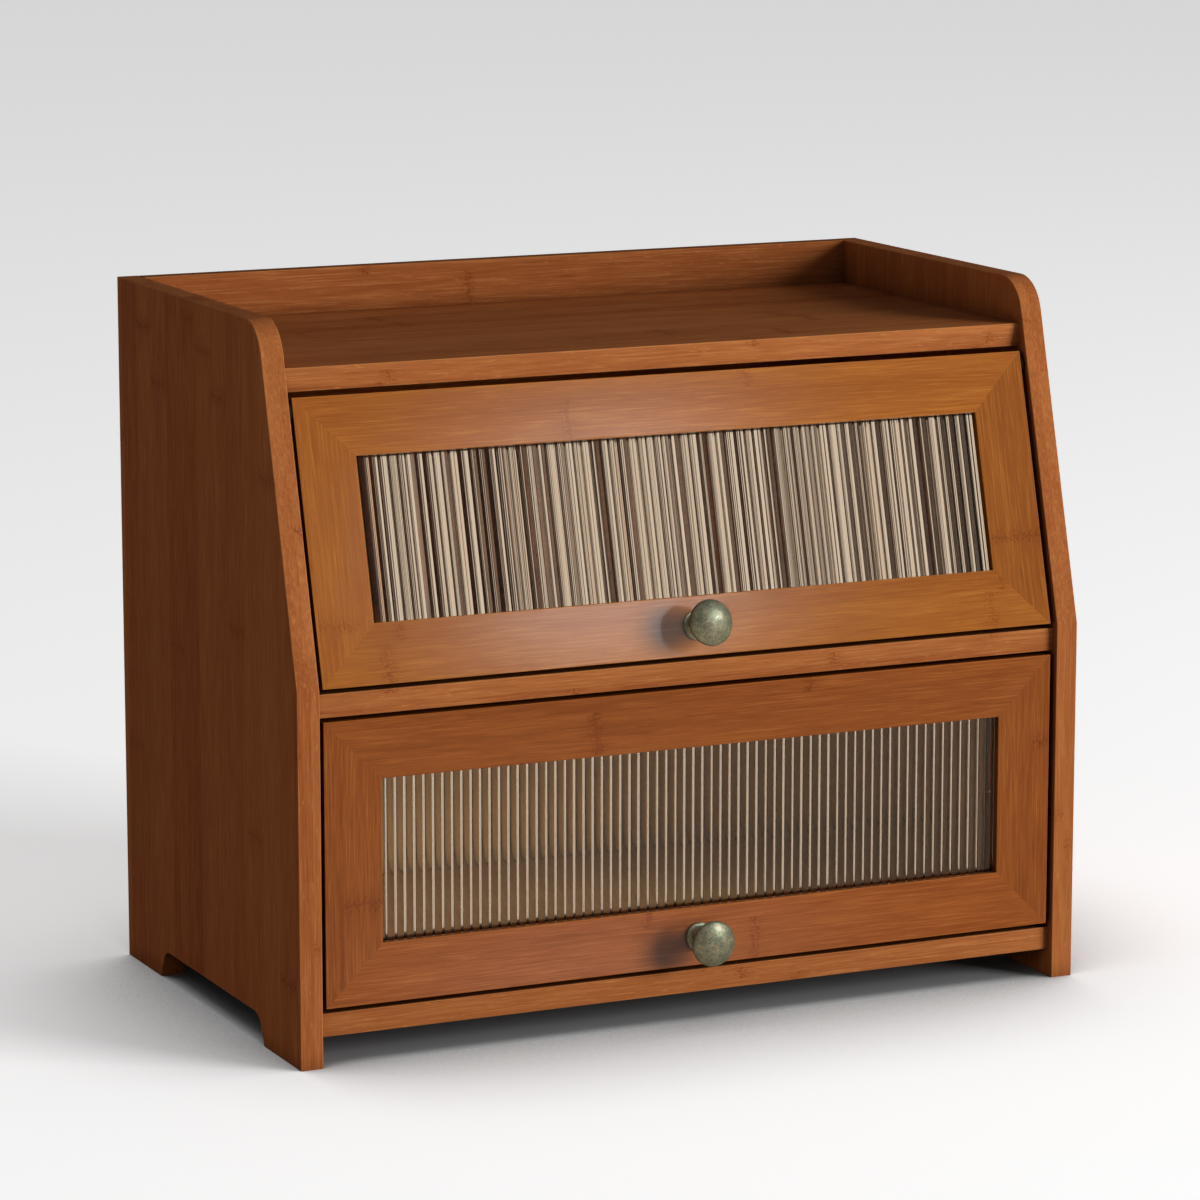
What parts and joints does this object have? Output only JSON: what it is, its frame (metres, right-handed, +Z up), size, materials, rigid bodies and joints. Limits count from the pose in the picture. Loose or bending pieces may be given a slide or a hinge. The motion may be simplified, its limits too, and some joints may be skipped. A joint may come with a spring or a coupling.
{
  "type": "bread box",
  "caption": "Wooden bread box with a leaning lift-up flap above a drawer, both framed round ribbed glass with round metal knobs, and a rimmed tray top.",
  "frame": {"origin": "on the surface the box stands on, under the middle of the whole box with its knobs", "axes": "+X to the right seen from the front, +Y towards the back panel, +Z up; the fronts face -Y"},
  "size_m": [0.4, 0.249, 0.335],
  "materials": {
    "dark_wood": "dark red-brown stain under satin lacquer",
    "warm_wood": "honey-brown stain under satin lacquer",
    "plain_wood": "unstained, fine-sanded",
    "ribbed_glass": "clear, smooth in front, with upright round ribs on the inner face",
    "pewter": "aged pewter-coloured cast metal, mottled",
    "steel": "zinc-plated",
    "nylon": "dark brown nylon"
  },
  "bodies": {
    "case": {"side_panel_left": "dark_wood", "side_panel_right": "dark_wood", "top_board": "dark_wood", "middle_shelf": "dark_wood", "bottom_board": "dark_wood", "back_panel": "dark_wood", "case_dowels": "plain_wood", "back_panel_screws": "steel", "pivot_bush_left": "nylon", "pivot_bush_right": "nylon", "flap_stop_left": "plain_wood", "flap_stop_right": "plain_wood", "flap_stop_screws": "steel", "catch_magnet_left": "steel", "catch_magnet_right": "steel"},
    "flap": {"flap_top_rail": "warm_wood", "flap_bottom_rail": "warm_wood", "flap_left_stile": "warm_wood", "flap_right_stile": "warm_wood", "flap_glass": "ribbed_glass", "flap_bead_top": "warm_wood", "flap_bead_bottom": "warm_wood", "flap_bead_left": "warm_wood", "flap_bead_right": "warm_wood", "flap_bead_brads": "steel", "flap_knob": "pewter", "flap_knob_screw": "steel", "flap_pin_left": "steel", "flap_pin_right": "steel", "flap_washer_left": "nylon", "flap_washer_right": "nylon", "strike_plate_left": "steel", "strike_plate_right": "steel", "strike_plate_screws": "steel"},
    "drawer": {"drawer_top_rail": "warm_wood", "drawer_bottom_rail": "warm_wood", "drawer_left_stile": "warm_wood", "drawer_right_stile": "warm_wood", "drawer_glass": "ribbed_glass", "drawer_bead_top": "warm_wood", "drawer_bead_bottom": "warm_wood", "drawer_bead_left": "warm_wood", "drawer_bead_right": "warm_wood", "drawer_bead_brads": "steel", "drawer_knob": "pewter", "drawer_knob_screw": "steel", "drawer_side_left": "plain_wood", "drawer_side_right": "plain_wood", "drawer_back": "plain_wood", "drawer_bottom": "plain_wood", "drawer_dowels": "plain_wood", "drawer_back_screws": "steel"}
  },
  "joints": [
    {"name": "flap_hinge", "type": "hinge", "parent": "case", "child": "flap", "pos_m": [0, -0.06559, 0.29368], "axis": [-1, 0, 0], "range_deg": [0, 130]},
    {"name": "drawer_slide", "type": "slide", "parent": "case", "child": "drawer", "axis": [0, -1, 0], "range_m": [0, 0.16]}
  ]
}
